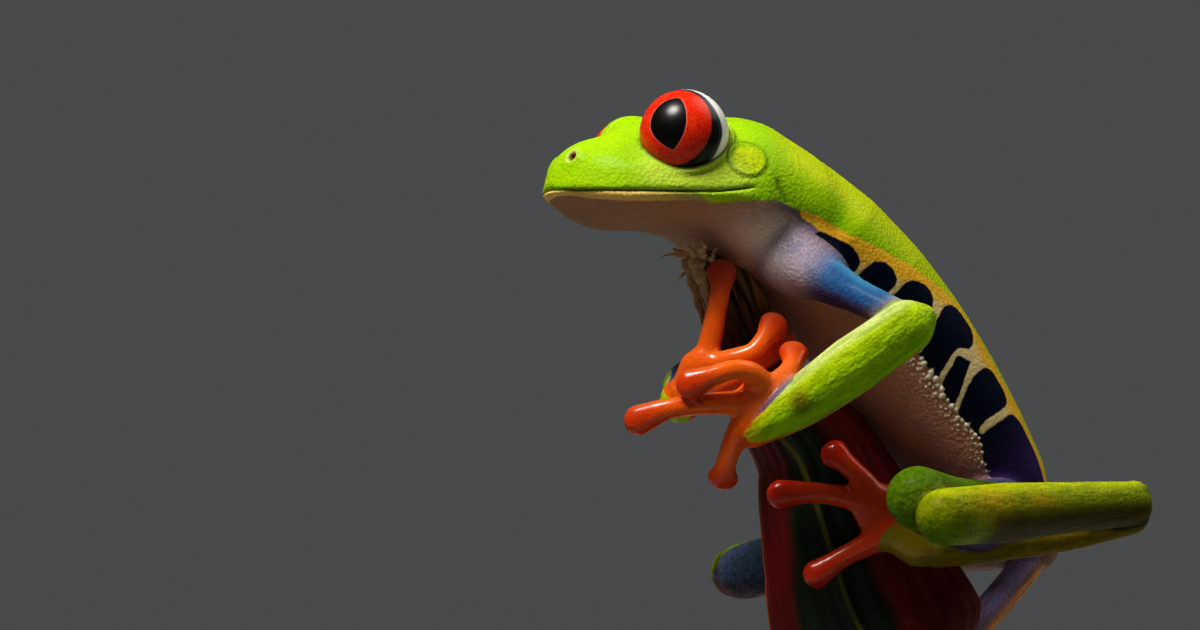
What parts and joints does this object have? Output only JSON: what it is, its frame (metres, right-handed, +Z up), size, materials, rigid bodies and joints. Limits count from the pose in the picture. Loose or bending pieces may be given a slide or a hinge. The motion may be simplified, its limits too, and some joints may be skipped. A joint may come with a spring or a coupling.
{
  "type": "red-eyed tree frog",
  "caption": "Still, life-size red-eyed tree frog gripping the tip of a cut flower bract, held on a rod over a round base.",
  "frame": {"origin": "centre of the underside of the round base", "axes": "+Z up, the frog looks along -X and a little towards -Y, -Z out of the base's underside"},
  "size_m": [0.058, 0.058, 0.0642],
  "materials": {
    "skin": "moist granular skin: yellow-green above, blue-violet and cream below, orange hands and feet",
    "eye": "wet red iris with an upright black pupil, dark rim and cream white",
    "perch": "waxy bract, green with dark red edges and a dry brown tip",
    "rod": "brushed",
    "base": "satin black"
  },
  "bodies": {
    "root": {"eye_left": "eye", "eye_right": "eye", "head": "skin", "trunk": "skin", "thigh_left": "skin", "shank_left": "skin", "tarsus_left": "skin", "foot_left": "skin", "upper_arm_left": "skin", "forearm_left": "skin", "hand_left": "skin", "thigh_right": "skin", "shank_right": "skin", "tarsus_right": "skin", "foot_right": "skin", "upper_arm_right": "skin", "forearm_right": "skin", "hand_right": "skin", "finger_left_1": "skin", "finger_left_2": "skin", "finger_left_3": "skin", "finger_left_4": "skin", "toe_left_1": "skin", "toe_left_2": "skin", "toe_left_3": "skin", "toe_left_4": "skin", "toe_left_5": "skin", "finger_right_1": "skin", "finger_right_2": "skin", "finger_right_3": "skin", "finger_right_4": "skin", "toe_right_1": "skin", "toe_right_2": "skin", "toe_right_3": "skin", "toe_right_4": "skin", "toe_right_5": "skin", "stand_rod": "rod", "stand_base": "base", "perch_bract": "perch", "perch_stalk": "perch"}
  },
  "joints": []
}
